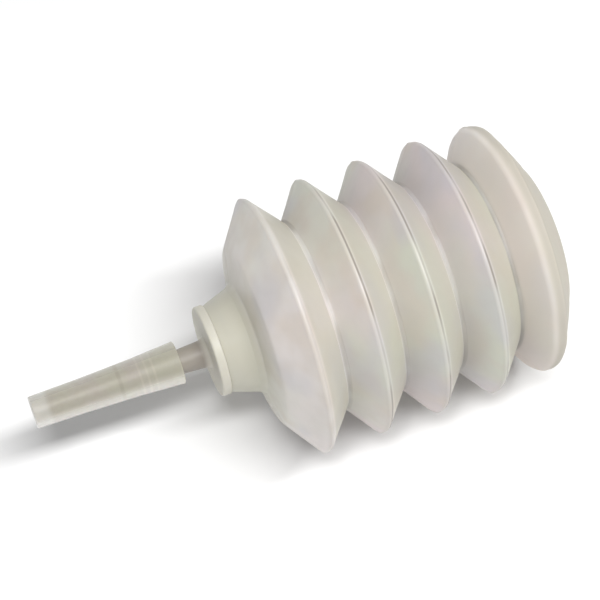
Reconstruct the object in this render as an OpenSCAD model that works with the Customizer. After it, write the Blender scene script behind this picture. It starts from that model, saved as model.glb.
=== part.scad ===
// Accordion squeeze bottle with a plug-in nozzle and a push-on nozzle cap.
// It lies on its pleats: +X runs along the bottle to its base, +Z is up, and
// the floor is z = 0. The middle of its length is at x = 0. Millimetres.

/* [Bellows] */
// Diameter over the pleat crests
crest_d = 38; // [36:0.5:42]
// Diameter at the bottom of the pleat valleys
valley_d = 28; // [25:0.5:31]
// Distance from one crest to the next
pitch = 8.66; // [7.6:0.02:10]
// Number of crests, the shoulder's and the base's included
crests = 5; // [3:1:8]
// How far a valley sits off the middle of its pleat, towards the base
lean = 0.3; // [0:0.1:0.6]
// Radius on the outside of a crest
crest_round = 0.9; // [0.8:0.1:1.4]
// Radius on the outside of a valley
valley_round = 0.3; // [0.2:0.1:0.6]
// Thickness of the blown wall
wall = 0.6; // [0.4:0.05:0.7]

/* [Shoulder and neck] */
// Length from the first crest to the neck's lip
front_len = 10; // [9:0.1:12]
// Diameter of the soft corner between the cone and the flat shoulder
corner_d = 26; // [24:0.5:28]
// Distance of that corner from the first crest
corner_len = 4.35; // [4:0.05:4.6]
// Diameter of the neck at its root
neck_root_d = 15.2; // [14.6:0.1:16]
// Diameter of the neck at its lip
lip_d = 12.6; // [12:0.1:13]
// Diameter of the bore through the neck
bore_d = 10.4; // [9.6:0.1:10.8]

/* [Base] */
// Diameter over the last crest
base_d = 37.4; // [36:0.2:38]
// Length from the last crest to the standing ring
base_len = 4.35; // [4:0.05:5]
// Outside diameter of the heel
heel_d = 29.2; // [28:0.2:31]
// Diameter of the flat end
foot_d = 22.8; // [21:0.2:24]
// Diameter of the push-up in the middle of the base
push_d = 16; // [12:0.5:17]
// Depth of the push-up
push_h = 0.5; // [0.3:0.1:0.9]

/* [Nozzle] */
// Diameter of the flange that sits on the lip
flange_d = 13.2; // [12.8:0.1:14]
// Thickness of the flange
flange_h = 1.3; // [1:0.1:1.6]
// Length of the plug inside the neck
plug_len = 4.6; // [4:0.1:5]
// Radial clearance of the plug in the bore
plug_fit = 0.03; // [0.01:0.01:0.08]
// Wall of the hollow plug
plug_wall = 1.15; // [0.9:0.05:1.2]
// Length of the stem
stem_len = 21.9; // [19:0.1:23]
// Diameter of the stem where it leaves its flared root
stem_d = 3.6; // [3.4:0.05:3.7]
// Diameter of the stem at its tip
tip_d = 2.7; // [2.5:0.05:2.8]
// Diameter of the passage at the tip
outlet_d = 1.1; // [0.8:0.1:1.3]

/* [Nozzle cap] */
// Length of the cap
cap_len = 21.4; // [20.6:0.1:23]
// Distance of the cap's mouth from the flange
cap_gap = 4.3; // [4:0.1:4.6]
// Outside diameter at the mouth
mouth_d = 6.2; // [6.1:0.05:6.6]
// Outside diameter at the closed end
nose_d = 4.62; // [4.6:0.02:5]
// Thickness of the closed end
nose_h = 2.1; // [1.6:0.1:2.4]
// Length of the wide socket behind the mouth
socket_len = 9.1; // [8.4:0.1:9.6]
// Clearance of the three grip rings round the stem
ring_fit = 0.04; // [0.02:0.01:0.08]

/* [Hidden] */
$fn = 96;

crest_r = crest_d / 2;
last = (crests - 1) * pitch + 0.25;
lip = -front_len;
flange = lip - flange_h;
tip = flange - stem_len;
mouth = flange - cap_gap;
nose = mouth - cap_len;
foot = last + base_len;
mid = (nose + foot) / 2;
cut_front = 0.95;
cut_base = last - 1.1;
valley = valley_d / 2 - 0.2;

// Height of a sharp corner that ends at radius top once it is rounded by r.
// p and q are [radius, distance] of the corners before and after it.
function peak(top, p, q, r, n = 4) = n == 0 ? top + r :
  let (h = peak(top, p, q, r, n - 1), a = atan(p[1] / (h - p[0])), b = atan(q[1] / (h - q[0])))
  top + r * (cos((a - b) / 2) / sin((a + b) / 2) - 1);

// Pulls a corner path inwards by w, one row [radius, station, rounding] each
function side(a, b) = let (d = [b[0] - a[0], b[1] - a[1]]) [-d[1], d[0]] / norm(d);
function inset(p, w) = [for (i = [1 : len(p) - 2])
  let (m = side(p[i - 1], p[i]), n = side(p[i], p[i + 1]), q = w / (1 + m * n),
       turn = cross(m, n), r = p[i][2])
  [p[i][0] + q * (m[0] + n[0]), p[i][1] + q * (m[1] + n[1]),
   turn > 0 ? max(r - w, 0.25) : r + w]];

// Draws an arc at each corner of the path that has a rounding
function arc(a, p, b, r, steps = 6) =
  let (u = [a[0] - p[0], a[1] - p[1]] / norm([a[0] - p[0], a[1] - p[1]]),
       v = [b[0] - p[0], b[1] - p[1]] / norm([b[0] - p[0], b[1] - p[1]]),
       half = acos(u * v) / 2, c = [p[0], p[1]] + (u + v) / norm(u + v) * r / sin(half),
       s = [p[0], p[1]] + u * r / tan(half) - c, e = [p[0], p[1]] + v * r / tan(half) - c,
       t = atan2(cross(s, e), s * e))
  [for (k = [0 : steps]) let (f = t * k / steps)
    c + [s[0] * cos(f) - s[1] * sin(f), s[0] * sin(f) + s[1] * cos(f)]];
function rounded(p) = [for (i = [0 : len(p) - 1])
  each (i == 0 || i == len(p) - 1 || p[i][2] == 0) ? [[p[i][0], p[i][1]]]
    : arc(p[i - 1], p[i], p[i + 1], p[i][2])];

// Outside of the blown shell, from the root of the neck to the foot
before = [valley, pitch / 2 - lean];
after = [valley, pitch / 2 + lean];
pleats = [for (k = [0 : crests - 2]) each [
  [peak(crest_r, k == 0 ? [corner_d / 2, corner_len] : before, after, crest_round),
   k * pitch, crest_round],
  [valley, (k + 0.5) * pitch + lean, valley_round]]];
heel = [heel_d / 2, last + base_len * 0.63, 2];
shell = concat(
  [[neck_root_d / 2, lip + 3.8, 0], [neck_root_d / 2 + 0.6, lip + 4.7, 0.5],
   [corner_d / 2, -corner_len, 2]],
  pleats,
  [[peak(base_d / 2, before + [0, last - (crests - 1) * pitch], [heel[0], heel[1] - last], 1.1),
    last, 1.1], heel, [foot_d / 2, foot, 1.4], [push_d / 2 + 0.5, foot, 0.2],
   [push_d / 2, foot - push_h, 0.2], [0, foot - push_h, 0]]);
inside = inset(concat(shell, [[-5, foot - push_h, 0]]), wall);

// Turns a path of [radius, station] round the bottle's axis
module turned(path) translate([-mid, 0, crest_r]) rotate([0, 90, 0])
  rotate_extrude(convexity = 10) polygon(path);

// A disc of the bottle's length from one station to another
module slice(from, to) turned([[0, from], [crest_r + 5, from], [crest_r + 5, to], [0, to]]);

// The whole blown bottle before it is divided at its two end pleats
module bottle() {
  outer = rounded(shell);
  inner = rounded(concat([[bore_d / 2, lip + 3.8, 0], [bore_d / 2, -corner_len + 0.2, 0.4]],
                         [for (i = [1 : len(inside) - 1]) inside[i]]));
  turned(concat([[bore_d / 2 + 0.25, lip], [lip_d / 2 - 0.15, lip], [lip_d / 2, lip + 0.15]],
                outer, [for (i = [len(inner) - 1 : -1 : 0]) inner[i]],
                [[bore_d / 2, lip + 0.25]]));
}

// Rigid front of the bottle: neck, shoulder and the first crest
module front_shell() color([0.72, 0.69, 0.60, 0.85])
  intersection() { bottle(); slice(lip - 1, cut_front); }

// Folding middle of the bottle, between the first and the last crest
module bellows() color([0.70, 0.66, 0.60, 0.85])
  intersection() { bottle(); slice(cut_front, cut_base); }

// Rigid base of the bottle: the last crest, the heel and the pushed-up foot
module base_shell() color([0.68, 0.64, 0.56, 0.85])
  intersection() { bottle(); slice(cut_base, foot + 1); }

// Moulded insert: plug, flange and tapered stem with one passage through it
module nozzle() color([0.56, 0.52, 0.38, 0.9]) {
  plug_r = bore_d / 2 - plug_fit;
  hollow_r = plug_r - plug_wall;
  turned(concat(
    [[outlet_d / 2, tip], [tip_d / 2 - 0.15, tip], [tip_d / 2, tip + 0.15],
     [stem_d / 2, mouth + 0.5], [stem_d / 2 + 0.14, flange - 1.2]],
    arc([stem_d / 2 + 0.14, flange - 1.2], [stem_d / 2 + 0.2, flange], [5, flange], 0.4),
    arc([5, flange], [flange_d / 2, flange], [flange_d / 2, lip], 0.3),
    arc([flange_d / 2, flange], [flange_d / 2, lip], [5, lip], 0.2),
    [[plug_r - 0.1, lip], [plug_r, lip + 0.5], [plug_r, lip + plug_len - 0.6],
     [plug_r - 0.35, lip + plug_len], [hollow_r + 0.2, lip + plug_len], [hollow_r, lip + plug_len - 0.2],
     [hollow_r, lip + 0.6], [hollow_r - 0.6, lip + 0.1], [0.9, lip - 0.3],
     [0.9, flange - 2], [outlet_d / 2, flange - 6]]));
}

// Radius of the stem at a station inside the cap
function stem_r(x) = tip_d / 2 + (stem_d - tip_d) / 2 * (x - tip) / (mouth + 0.5 - tip);

// Push-on cap with a blind bore, a wider socket and three fine grip rings
module nozzle_cap() color([0.52, 0.48, 0.34, 0.9]) {
  step = mouth - socket_len;
  difference() {
    turned(concat([[0, nose], [nose_d / 2 - 0.15, nose], [nose_d / 2, nose + 0.15],
      [nose_d / 2 + 0.1, nose + 7], [nose_d / 2 + 0.38, nose + 15], [mouth_d / 2, mouth - 0.1],
      [mouth_d / 2 - 0.1, mouth], [0, mouth]]));
    turned([[0, nose + nose_h], [1.35, nose + nose_h], [1.55, nose + nose_h + 0.2],
      [stem_r(step) + 0.2, step], [2.15, step + 0.6], [2.15, mouth - 0.4],
      [2.35, mouth + 1], [0, mouth + 1]]);
  }
  for (k = [0 : 2]) let (x = mouth - 3.9 - k, r = stem_r(x) + ring_fit)
    turned([[2.2, x - 0.3], [2.2, x + 0.3], [r, x + 0.06], [r, x - 0.06]]);
}

front_shell();
bellows();
base_shell();
nozzle();
nozzle_cap();
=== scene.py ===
import math

import bpy
from mathutils import Matrix, Vector, noise


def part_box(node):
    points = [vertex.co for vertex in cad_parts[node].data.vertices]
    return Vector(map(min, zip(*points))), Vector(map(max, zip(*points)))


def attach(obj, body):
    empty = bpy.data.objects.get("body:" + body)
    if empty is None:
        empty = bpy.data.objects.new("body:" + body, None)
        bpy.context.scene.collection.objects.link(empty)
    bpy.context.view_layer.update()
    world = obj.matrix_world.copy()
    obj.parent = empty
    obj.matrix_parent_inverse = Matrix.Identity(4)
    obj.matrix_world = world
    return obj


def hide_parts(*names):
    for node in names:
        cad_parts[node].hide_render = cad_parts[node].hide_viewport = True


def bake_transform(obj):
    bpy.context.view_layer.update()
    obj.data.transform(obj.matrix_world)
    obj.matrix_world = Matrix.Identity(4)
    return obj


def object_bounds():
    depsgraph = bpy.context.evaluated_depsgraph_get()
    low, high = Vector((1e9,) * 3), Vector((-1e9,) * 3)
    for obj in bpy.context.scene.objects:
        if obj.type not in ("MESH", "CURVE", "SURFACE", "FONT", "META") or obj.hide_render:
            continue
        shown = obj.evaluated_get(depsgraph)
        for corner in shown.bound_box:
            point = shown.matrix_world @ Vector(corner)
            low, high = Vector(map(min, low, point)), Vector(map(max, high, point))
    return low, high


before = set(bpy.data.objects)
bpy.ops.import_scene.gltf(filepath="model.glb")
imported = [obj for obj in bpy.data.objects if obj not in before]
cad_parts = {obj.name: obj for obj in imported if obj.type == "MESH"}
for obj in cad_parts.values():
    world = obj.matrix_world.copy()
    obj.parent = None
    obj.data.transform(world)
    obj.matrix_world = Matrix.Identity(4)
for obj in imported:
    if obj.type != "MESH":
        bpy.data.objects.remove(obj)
cad_low, cad_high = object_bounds()

# ---------------------------------------------------------------------------
# The bottle: one thin shell of natural low-density polyethylene, blown in a
# mould that parts along the axis. Neck, shoulder, pleats and base are one
# piece, which folds between its first and last crest when the base is pressed.
# Stations and radii are in millimetres, along and out from the middle of the
# part's box, which the axis runs through.
MM = 0.001
middle = (cad_low + cad_high) / 2


def end_of(node, end):
    """The station of a node's nozzle end (0) or base end (1)."""
    return (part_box(node)[end].x - middle.x) / MM


LIP = end_of("front_shell", 0)
FOOT = end_of("base_shell", 1)
PITCH = 8.66
FIRST = LIP + 10
LAST = FIRST + 4 * PITCH + 0.25
CREST_R = (cad_high.z - cad_low.z) / 2 / MM
CREST_ROUND = 0.55
VALLEY_R = 13.9
VALLEY_ROUND = 0.3
LEAN = 0.3
WALL = 0.6
LIP_R = 6.3
BORE_R = 5.2
NECK_ROOT = (LIP + 3.8, 7.6)
SHOULDER_START = (LIP + 4.7, 8.2)
SHOULDER = (FIRST - 4.35, 13.0)
HEEL = (LAST + 2.74, 14.6)
STANDING_R = 11.4
PUSH_UP_R = 8.0
PUSH_UP = 0.5

# A crest's sharp corner stands this far outside its rounding.
CORNER_RISE = 0.32
FIRST_CORNER_RISE = 0.33

# Thin creases run behind every crest but the first and along each valley.
CREASE = 0.32
CREASE_HALF = 0.13
CREASE_DEPTH = 0.06
FOLD_HALF = 0.14
FOLD_DEPTH = 0.35

SEAM_ANGLES = (math.radians(-62), math.radians(118))
SEAM_RISE = 0.09
SEAM_HALF = 0.35
SEAM_EDGES = (math.radians(-0.5), math.radians(0.5))
WAVE = 0.06
BASE_WAVE = 0.1
SEGMENTS = 180
ON_AXIS = 1e-4


class Wire:
    """One socket of a finish. Arithmetic on it adds the Math nodes."""

    def __init__(self, finish, socket):
        self.finish = finish
        self.socket = socket

    def _with(self, operation, *values):
        return self.finish.node("ShaderNodeMath", {"operation": operation}, dict(enumerate(values)))

    def __add__(self, other):
        return self._with("ADD", self, other)

    def __radd__(self, other):
        return self._with("ADD", other, self)

    def __sub__(self, other):
        return self._with("SUBTRACT", self, other)

    def __rsub__(self, other):
        return self._with("SUBTRACT", other, self)

    def __mul__(self, other):
        return self._with("MULTIPLY", self, other)

    def __rmul__(self, other):
        return self._with("MULTIPLY", other, self)

    def __abs__(self):
        return self._with("ABSOLUTE", self)


class Finish:
    """A material with one Principled shader, and the nodes that feed it."""

    def __init__(self, name):
        self.material = bpy.data.materials.new(name)
        self.material.use_nodes = True
        self.tree = self.material.node_tree
        self.tree.nodes.clear()
        self.shader = self.tree.nodes.new("ShaderNodeBsdfPrincipled")
        out = self.tree.nodes.new("ShaderNodeOutputMaterial")
        self.tree.links.new(self.shader.outputs[0], out.inputs["Surface"])

    def feed(self, socket, value):
        if isinstance(value, Wire):
            self.tree.links.new(value.socket, socket)
        else:
            socket.default_value = value

    def node(self, kind, settings, values, out=0):
        made = self.tree.nodes.new(kind)
        for key, setting in settings.items():
            setattr(made, key, setting)
        for key, value in values.items():
            self.feed(made.inputs[key], value)
        return Wire(self, made.outputs[out])

    def mark(self, name, out="Fac"):
        return self.node("ShaderNodeAttribute", {"attribute_name": name}, {}, out)

    def part(self, vector, letter):
        return self.node("ShaderNodeSeparateXYZ", {}, {0: vector}, letter)

    def clouds(self, where, scale, detail=2.0, rough=0.5):
        values = {"Vector": where, "Scale": scale, "Detail": detail, "Roughness": rough}
        return self.node("ShaderNodeTexNoise", {}, values, "Fac")

    def between(self, low, high, value):
        """0 below low, 1 above high, and smooth between."""
        values = {"Value": value, "From Min": low, "From Max": high}
        return self.node("ShaderNodeMapRange", {"interpolation_type": "SMOOTHSTEP"}, values)

    def tint(self, share, a, b):
        return self.node("ShaderNodeMix", {"data_type": "RGBA"}, {0: share, 6: a, 7: b}, 2)

    def layered(self, base, layers):
        """The base colour with each layer's colour laid over it by its share."""
        for share, colour in layers:
            base = self.tint(share, base, colour)
        return base

    def stretched(self, where, factors):
        settings = {"operation": "MULTIPLY"}
        return self.node("ShaderNodeVectorMath", settings, {0: where, 1: factors})

    def relief(self, height, strength, distance):
        values = {"Height": height, "Strength": strength, "Distance": distance}
        return self.node("ShaderNodeBump", {}, values)

    def set(self, **values):
        for key, value in values.items():
            self.feed(self.shader.inputs[key.replace("_", " ")], value)


def rgb(r, g, b):
    return (r, g, b, 1.0)


def corner_arc(before, corner, after, radius, steps):
    """Points of a rounding of that radius at a corner of an outline."""
    p = Vector(corner)
    to_before = (Vector(before) - p).normalized()
    to_after = (Vector(after) - p).normalized()
    half = to_before.angle(to_after) / 2
    centre = p + (to_before + to_after).normalized() * radius / math.sin(half)
    start = p + to_before * radius / math.tan(half) - centre
    end = p + to_after * radius / math.tan(half) - centre
    turn = math.atan2(start.x * end.y - start.y * end.x, start.dot(end))
    return [centre + Matrix.Rotation(turn * k / steps, 2) @ start for k in range(steps + 1)]


def rounded(corners, steps=8, stride=0.6):
    """An outline of (station, radius, rounding) corners, with its long straights cut up."""
    points = [Vector(corners[0][:2])]
    for a, b, c in zip(corners, corners[1:], corners[2:]):
        points += corner_arc(a[:2], b[:2], c[:2], b[2], steps) if b[2] else [Vector(b[:2])]
    points.append(Vector(corners[-1][:2]))
    dense = [points[0]]
    for a, b in zip(points, points[1:]):
        pieces = max(1, round((b - a).length / stride))
        dense += [a.lerp(b, (k + 1) / pieces) for k in range(pieces)]
    return dense


def inset(corners, depth):
    """The inner corners of an outline moved towards the axis by that depth."""
    moved = []
    for a, b, c in zip(corners, corners[1:], corners[2:]):
        p = Vector(b[:2])
        into = (p - Vector(a[:2])).normalized()
        on = (Vector(c[:2]) - p).normalized()
        sides = Vector((into.y, -into.x)) + Vector((on.y, -on.x))
        shift = sides * depth / (1 + into.dot(on))
        bulges = into.x * on.y - into.y * on.x < 0
        radius = max(b[2] - depth, 0.3) if bulges else b[2] + depth
        moved.append((p.x + shift.x, p.y + shift.y, radius))
    return moved


def grooved(points, station, half, depth):
    """The same outline with a narrow V cut into it, square to the axis."""
    def at(x):
        for a, b in zip(points, points[1:]):
            if a.x <= x < b.x:
                return a.lerp(b, (x - a.x) / (b.x - a.x))

    bottom = at(station) - Vector((0, depth))
    return (
        [p for p in points if p.x < station - half]
        + [at(station - half), bottom, at(station + half)]
        + [p for p in points if p.x > station + half]
    )


def turn_on_lathe(name, outline, finish, angles, marks=None, lift=None):
    """A closed mesh turned from an outline round the bottle's axis. An outline that starts on
    the axis also ends there; any other closes on itself. marks are values of the outline's
    points for the finish; lift raises a point of the skin."""
    count = len(outline)
    rows = []
    for k, p in enumerate(outline):
        if p.y < ON_AXIS:
            rows.append([Vector((p.x, 0, 0))])
            continue
        along = (outline[(k + 1) % count] - outline[k - 1]).normalized()
        outwards = Vector((-along.y, along.x))
        row = []
        for angle in angles:
            q = p + outwards * (lift(k, p, angle) if lift else 0)
            row.append(Vector((q.x, -q.y * math.sin(angle), q.y * math.cos(angle))))
        rows.append(row)
    points = []
    index = []
    for row in rows:
        index.append(range(len(points), len(points) + len(row)))
        points += row
    bands = list(zip(index, index[1:]))
    if outline[0].y > ON_AXIS:
        bands.append((index[-1], index[0]))
    faces = []
    for a, b in bands:
        if len(a) == len(b) == 1:
            continue
        for k in range(len(angles)):
            j = (k + 1) % len(angles)
            if len(a) == 1:
                faces.append((a[0], b[k], b[j]))
            elif len(b) == 1:
                faces.append((a[j], a[k], b[0]))
            else:
                faces.append((a[j], a[k], b[k], b[j]))
    mesh = bpy.data.meshes.new(name)
    mesh.from_pydata([p * MM + middle for p in points], [], faces)
    mesh.update()
    place = mesh.attributes.new("place", "FLOAT_VECTOR", "POINT")
    place.data.foreach_set("vector", [c for p in points for c in p])
    for mark, values in (marks or {}).items():
        layer = mesh.attributes.new(mark, "FLOAT", "POINT")
        layer.data.foreach_set("value", [v for v, row in zip(values, rows) for _ in row])
    mesh.shade_smooth()
    mesh.materials.append(finish.material)
    piece = bpy.data.objects.new(name, mesh)
    bpy.context.collection.objects.link(piece)
    return piece


# The outside from lip to foot, where the last crest is a flattened bead
pleats = [FIRST + k * PITCH for k in range(4)]
valleys = [crest + PITCH / 2 + LEAN for crest in pleats]
crests = pleats + [LAST]
outside = [
    (LIP, BORE_R + 0.3, 0),
    (LIP, LIP_R, 0.15),
    (*NECK_ROOT, 0.6),
    (*SHOULDER_START, 0.5),
    (*SHOULDER, 2.0),
]
for crest, valley in zip(pleats, valleys):
    rise = CORNER_RISE if crest > FIRST else FIRST_CORNER_RISE
    outside.append((crest, CREST_R + rise, CREST_ROUND))
    outside.append((valley, VALLEY_R, VALLEY_ROUND))
outside += [
    (LAST - 1.0, CREST_R - 0.2, 1.5),
    (LAST + 0.65, CREST_R - 0.7, 0.5),
    (*HEEL, 1.6),
    (FOOT, STANDING_R, 1.4),
    (FOOT, PUSH_UP_R + 0.5, 0.2),
    (FOOT - PUSH_UP, PUSH_UP_R, 0.2),
    (FOOT - PUSH_UP, 0, 0),
]
skin = rounded(outside)
for crest, valley in zip(pleats, valleys):
    if crest > FIRST:
        skin = grooved(skin, crest + CREASE, CREASE_HALF, CREASE_DEPTH)
    skin = grooved(skin, valley, FOLD_HALF, FOLD_DEPTH)

# The inside follows it one wall away, but for a straight bore through the neck.
# The point past the axis gives the outline's last corner a side to move in by.
past_axis = (FOOT - PUSH_UP, -5, 0)
beyond_neck = inset(outside + [past_axis], WALL)[3:]
inside = [(LIP + 0.3, BORE_R, 0), (SHOULDER[0] + 0.2, BORE_R, 0.4)] + beyond_neck
bottle_outline = skin + rounded(inside)[::-1]


def behind_crest_at(station):
    """How far a station lies behind its nearest crest, held close on the neck and the heel."""
    nearest = min((station - crest for crest in crests), key=abs)
    if station < FIRST:
        return max(nearest, -1)
    if station > LAST:
        return min(nearest, 3)
    return nearest


def unevenness(k, p, angle):
    """The slight waviness of a soft blown skin, and the fine ridge where the mould's halves met."""
    if k >= len(skin) or p.x < LIP + 0.3 or p.x > FOOT - 0.3:
        return 0
    off_seam = min(abs((angle - s + math.pi) % (2 * math.pi) - math.pi) for s in SEAM_ANGLES)
    ridge = SEAM_RISE * max(0, 1 - off_seam * max(p.y, 3) / SEAM_HALF)
    at = Vector((p.x * 1.5, p.y * math.cos(angle), p.y * math.sin(angle)))
    at_base = min(max((p.x - LAST + 3) / 2, 0), 1)
    return ridge + WAVE * (noise.noise(at * 0.2) - 1) + BASE_WAVE * at_base * noise.noise(at * 0.35)


bottle_angles = sorted(
    {round(2 * math.pi * k / SEGMENTS, 6) for k in range(SEGMENTS)}
    | {round((seam + edge) % (2 * math.pi), 6) for seam in SEAM_ANGLES for edge in SEAM_EDGES}
)

milky = Finish("milky_bottle")
place = milky.mark("place", "Vector")
station = milky.part(place, "X")
behind_crest = milky.mark("behind")
drift = milky.clouds(place, 0.055)
cast = milky.clouds(place, 0.13)
patchy = milky.between(0.38, 0.6, milky.clouds(place, 0.13, 1.0))
veil = milky.clouds(milky.stretched(place, (1.6, 0.8, 0.8)), 0.12, 1.0)
mottle = milky.clouds(place, 0.5)
flow = milky.clouds(milky.stretched(place, (0.05, 1.6, 1.6)), 1.0)
past_first = 0.2 + 0.8 * milky.between(FIRST + 2, FIRST + 4, station)
crease_shade = 1 - milky.between(0.08, 0.26, abs(behind_crest - CREASE))
ridge = 1 - milky.between(0.1, 0.6, abs(behind_crest))
shaded_fold = 1 - milky.between(0.16, 0.34, milky.mark("off_valley"))
front_flank_shade = 1 - milky.between(-4.2, -0.5, behind_crest)
back_flank_tone_and_shade = milky.between(0.4, 1.0, behind_crest)
towards_base = milky.between(FIRST, LAST, station)
towards_neck = 1 - milky.between(FIRST - 7, FIRST + 14, station)
on_neck = 1 - milky.between(FIRST - 6.2, FIRST - 3.6, station)
on_base = milky.between(LAST - 4.4, LAST - 3.6, station)
on_shaded_band = milky.between(LAST - 1.2, LAST - 0.4, station)
on_heel = milky.between(LAST + 0.6, LAST + 1.1, station)
far_side_painted_light = milky.between(0, 16, milky.part(place, "Y"))
pink_to_green = milky.tint(
    milky.between(0.35, 0.65, drift), rgb(0.68, 0.605, 0.60), rgb(0.635, 0.645, 0.555))
milky.set(
    Base_Color=milky.layered(pink_to_green, [
        (towards_neck * 0.55, rgb(0.80, 0.775, 0.73)),
        (milky.between(0.45, 0.65, cast) * 0.5, rgb(0.66, 0.58, 0.50)),
        (milky.between(0.45, 0.7, veil) * 0.5, rgb(0.56, 0.55, 0.60)),
        (milky.between(0.3, 0.8, mottle) * 0.12, rgb(0.52, 0.50, 0.48)),
        # Painted shade: the front flank of each pleat darkens towards the valley before it, more so
        # towards the base.
        (front_flank_shade * (0.22 + 0.55 * towards_base), rgb(0.44, 0.42, 0.40)),
        (on_base * 0.45, rgb(0.78, 0.70, 0.64)),
        # Painted light: the far side of the base is lightened, as if lit through the milky wall.
        (on_base * far_side_painted_light * 0.6, rgb(0.97, 0.92, 0.87)),
        # Greenish tone with painted shade: the back flank behind each crest is darker, where the
        # lamp lights it too strongly.
        (back_flank_tone_and_shade * 0.6, rgb(0.475, 0.455, 0.375)),
        # Painted shade: the rounded crest tops are darkened against the light they catch.
        (ridge * 0.35, rgb(0.42, 0.40, 0.37)),
        # Painted shade: the band of the last crest, which faces the lamp, is darkened, less so
        # towards the heel.
        (on_shaded_band * (0.7 - 0.4 * on_heel), rgb(0.45, 0.42, 0.35)),
        # Painted shade: thin dark lines along the creases behind the crests, faint on the first
        # crest and left off the base band.
        (crease_shade * (1 - on_shaded_band) * past_first * (0.35 + 0.45 * patchy), rgb(0.26, 0.23, 0.20)),
        # Painted shade: a dark line along the bottom of each valley fold.
        (shaded_fold * (0.05 + 0.35 * patchy), rgb(0.28, 0.26, 0.22)),
        (on_neck * 0.8, rgb(0.475, 0.465, 0.37)),
    ]),
    Roughness=0.35 + 0.16 * mottle + 0.25 * shaded_fold + 0.15 * on_base + 0.15 * on_shaded_band,
    Normal=milky.relief(flow * 0.7 + mottle * 0.3, 0.3, 0.00008),
    IOR=1.51,
    Subsurface_Weight=0.35,
    Subsurface_Radius=(1.0, 0.9, 0.75),
    Subsurface_Scale=0.0007,
)

bottle = turn_on_lathe("bottle", bottle_outline, milky, bottle_angles, {
    "behind": [behind_crest_at(p.x) for p in bottle_outline],
    "off_valley": [min(abs(p.x - valley) for valley in valleys) for p in bottle_outline],
}, unevenness)
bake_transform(bottle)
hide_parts("front_shell", "bellows", "base_shell")

# ---------------------------------------------------------------------------
# The nozzle: an injection-moulded insert of a denser, faintly green plastic.
# Its hollow plug is pushed into the neck until the flange meets the lip, and
# its tapered stem carries the liquid.
TIP = end_of("nozzle", 0)
PLUG_END = end_of("nozzle", 1)
MOUTH = end_of("nozzle_cap", 1)
FLANGE_THICKNESS = 1.3
FLANGE = LIP - FLANGE_THICKNESS
FLANGE_R = 6.6
PLUG_GAP = 0.03
PLUG_R = BORE_R - PLUG_GAP
PLUG_WALL = 1.15
TIP_R = 1.35
STEM_R = 1.8
STEM_ROOT_R = 1.97
OUTLET_R = 0.55
PASSAGE_R = 0.9
nozzle_outline = rounded([
    (TIP, OUTLET_R, 0),
    (TIP, TIP_R, 0.15),
    (MOUTH + 0.5, STEM_R, 2.0),
    (FLANGE - 0.9, STEM_ROOT_R, 0.4),
    (FLANGE, 2.3, 0.3),
    (FLANGE, FLANGE_R, 0.3),
    (LIP, FLANGE_R, 0.2),
    (LIP, PLUG_R - 0.1, 0),
    (LIP + 0.5, PLUG_R, 0),
    (PLUG_END - 0.6, PLUG_R, 0),
    (PLUG_END, PLUG_R - 0.35, 0.1),
    (PLUG_END, PLUG_R - 1.1, 0.1),
    (LIP + 0.6, PLUG_R - PLUG_WALL, 0.3),
    (LIP + 0.1, 3.4, 0.2),
    (LIP - 0.3, PASSAGE_R, 0),
    (FLANGE - 2, PASSAGE_R, 0),
    (FLANGE - 6, OUTLET_R, 0),
], 6)

dense = Finish("milky_nozzle")
place = dense.mark("place", "Vector")
drift = dense.clouds(place, 0.12, 3.0)
grain = dense.clouds(place, 1.2, 4.0, 0.6)
drawn = dense.clouds(dense.stretched(place, (0.06, 2.2, 2.2)), 1.0)
on_flange = dense.between(FLANGE - 1.2, FLANGE - 0.1, dense.part(place, "X"))
brown_to_green = dense.tint(
    dense.between(0.35, 0.65, drift), rgb(0.50, 0.45, 0.39), rgb(0.50, 0.48, 0.38))
dense.set(
    Base_Color=dense.layered(brown_to_green, [
        (dense.between(0.4, 0.7, grain) * 0.2, rgb(0.40, 0.35, 0.30)),
        ((1 - on_flange) * 0.75, rgb(0.25, 0.225, 0.20)),
        (on_flange * 0.7, rgb(0.60, 0.59, 0.52)),
    ]),
    Roughness=0.42 + 0.16 * grain,
    Normal=dense.relief(drawn * 0.6 + grain * 0.4, 0.2, 0.00006),
    IOR=1.51,
    Subsurface_Weight=0.4,
    Subsurface_Radius=(1.0, 0.95, 0.7),
    Subsurface_Scale=0.001,
)
NOZZLE_SEGMENTS = 96
nozzle_angles = [2 * math.pi * k / NOZZLE_SEGMENTS for k in range(NOZZLE_SEGMENTS)]
nozzle = turn_on_lathe("nozzle_insert", nozzle_outline, dense, nozzle_angles)
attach(nozzle, "nozzle_insert")
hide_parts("nozzle")

# ---------------------------------------------------------------------------
# The nozzle cap: a long closed sleeve moulded in the same plastic, thin enough
# to show the stem inside. Three fine rings in its mouth grip the stem, and the
# socket steps in behind them.
NOSE = end_of("nozzle_cap", 0)
NOSE_R = 2.31
WAIST = (NOSE + 7, 2.41)
FLARE = (NOSE + 15, 2.69)
MOUTH_R = 3.1
SOCKET_R = 2.15
SOCKET_END = NOSE + 2.1
STEP = MOUTH - 9.1
RINGS = [MOUTH - 3.9 - k for k in range(3)]
GRIP_GAP = 0.04


def stem_radius(station):
    return TIP_R + (STEM_R - TIP_R) * (station - TIP) / (MOUTH + 0.5 - TIP)


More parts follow.
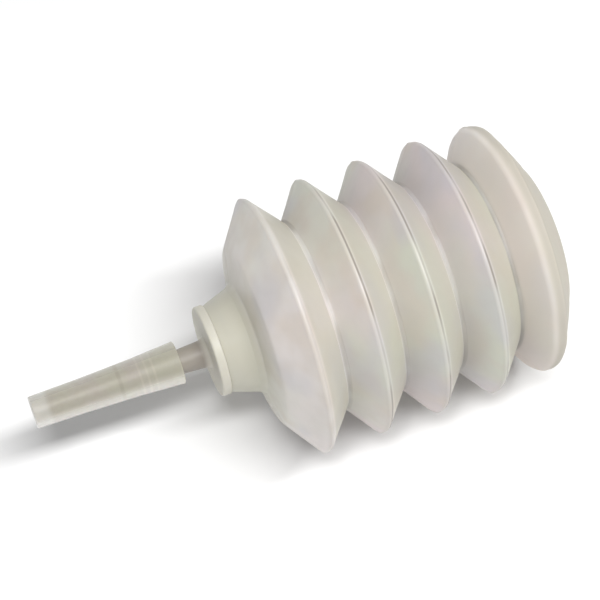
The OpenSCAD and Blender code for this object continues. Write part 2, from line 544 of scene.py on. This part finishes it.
socket = [(MOUTH, 2.25, 0.1), (MOUTH - 0.5, SOCKET_R, 0)]
for ring in RINGS:
    grip = stem_radius(ring) + GRIP_GAP
    socket += [(ring + 0.3, SOCKET_R, 0), (ring + 0.06, grip, 0)]
    socket += [(ring - 0.06, grip, 0), (ring - 0.3, SOCKET_R, 0)]
socket += [
    (STEP + 0.6, SOCKET_R, 0),
    (STEP, stem_radius(STEP) + 0.2, 0),
    (SOCKET_END + 0.2, 1.55, 0),
    (SOCKET_END, 1.35, 0),
    (SOCKET_END, 0, 0),
]
cap_outline = rounded([
    (NOSE, 0, 0),
    (NOSE, NOSE_R, 0.2),
    (*WAIST, 0),
    (*FLARE, 0),
    (MOUTH, MOUTH_R, 0.12),
] + socket, 6)

sheer = Finish("sheer_cap")
place = sheer.mark("place", "Vector")
station = sheer.part(place, "X")
drift = sheer.clouds(place, 0.14, 3.0)
grain = sheer.clouds(place, 1.3, 4.0, 0.6)
drawn = sheer.clouds(sheer.stretched(place, (0.06, 2.2, 2.2)), 1.0)
solid_nose = 1 - sheer.between(SOCKET_END - 0.2, SOCKET_END + 0.6, station)
ring_highlights = [1 - sheer.between(0.06, 0.24, abs(station - ring)) for ring in RINGS]
at_step = 1 - sheer.between(0.1, 0.4, abs(station - (STEP + 0.3)))
brown_to_green = sheer.tint(
    sheer.between(0.35, 0.65, drift), rgb(0.50, 0.455, 0.405), rgb(0.50, 0.485, 0.39))
sheer.set(
    Base_Color=sheer.layered(brown_to_green, [
        (sheer.between(0.4, 0.7, grain) * 0.25, rgb(0.42, 0.37, 0.30)),
        (solid_nose * 0.6, rgb(0.66, 0.65, 0.60)),
        # Painted highlights: pale bands where the grip rings inside catch the light through the
        # wall.
        *((ring_highlight * 0.3, rgb(0.68, 0.63, 0.54)) for ring_highlight in ring_highlights),
        (at_step * 0.4, rgb(0.34, 0.31, 0.24)),
    ]),
    Roughness=0.42 + 0.16 * grain,
    Normal=sheer.relief(drawn * 0.6 + grain * 0.4, 0.25, 0.00006),
    IOR=1.51,
    Subsurface_Weight=0.3,
    Subsurface_Radius=(1.0, 0.95, 0.7),
    Subsurface_Scale=0.0008,
    Transmission_Weight=0.4,
)
cap = turn_on_lathe("nozzle_cap_sleeve", cap_outline, sheer, nozzle_angles)
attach(cap, "cap")
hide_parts("nozzle_cap")

# ---------------------------------------------------------------------------
# The table and the studio, in metres: a plain white sheet, one long soft lamp
# overhead on the near side, and a pale surround.
REACH = 1.5
white = Finish("white_sheet")
white.set(Base_Color=rgb(0.9, 0.9, 0.9), Roughness=0.7)
sheet = bpy.data.meshes.new("white_sheet")
sheet.from_pydata(
    [(-REACH, -REACH, 0), (REACH, -REACH, 0), (REACH, REACH, 0), (-REACH, REACH, 0)],
    [], [(0, 1, 2, 3)])
sheet.materials.append(white.material)
table = bpy.data.objects.new("white_sheet", sheet)
bpy.context.collection.objects.link(table)

LAMP_DISTANCE = 0.6
lamp = bpy.data.lights.new("long_soft_lamp", "AREA")
lamp.shape = "RECTANGLE"
lamp.size = 0.48
lamp.size_y = 0.08
lamp.energy = 3.72
towards_lamp = Vector((0.14, -0.265, 0.93)).normalized()
along_lamp = (Vector((1, 0, 0)) - towards_lamp * towards_lamp.x).normalized()
lamp_axes = Matrix((along_lamp, towards_lamp.cross(along_lamp), towards_lamp)).transposed()
lamp_place = Matrix.Translation(middle + towards_lamp * LAMP_DISTANCE)
stand = bpy.data.objects.new("long_soft_lamp", lamp)
stand.matrix_world = lamp_place @ lamp_axes.to_4x4()
bpy.context.collection.objects.link(stand)

world = bpy.data.worlds.new("pale_surround")
world.use_nodes = True
background = world.node_tree.nodes["Background"]
background.inputs["Color"].default_value = rgb(1, 1, 1)
background.inputs["Strength"].default_value = 0.38
bpy.context.scene.world = world
bpy.context.scene.view_settings.view_transform = "Standard"

# ---------------------------------------------------------------------------
# The viewpoint: high above the near side of the nozzle, level with the
# horizon, through a long lens.
AIM_OFFSET = Vector((2.37, 2.10, 1.81)) * MM
VIEW_AZIMUTH = math.radians(-21.5)
VIEW_ELEVATION = math.radians(61.09)
VIEW_DISTANCE = 270.8 * MM
towards_camera = Vector((
    math.sin(VIEW_AZIMUTH) * math.cos(VIEW_ELEVATION),
    -math.cos(VIEW_AZIMUTH) * math.cos(VIEW_ELEVATION),
    math.sin(VIEW_ELEVATION),
))
camera_data = bpy.data.cameras.new("camera")
camera_data.sensor_width = 36
camera_data.lens = 114.9
camera_data.clip_start = 0.01
camera = bpy.data.objects.new("camera", camera_data)
camera.location = middle + AIM_OFFSET + towards_camera * VIEW_DISTANCE
camera.rotation_euler = towards_camera.to_track_quat("Z", "Y").to_euler()
bpy.context.collection.objects.link(camera)
bpy.context.scene.camera = camera
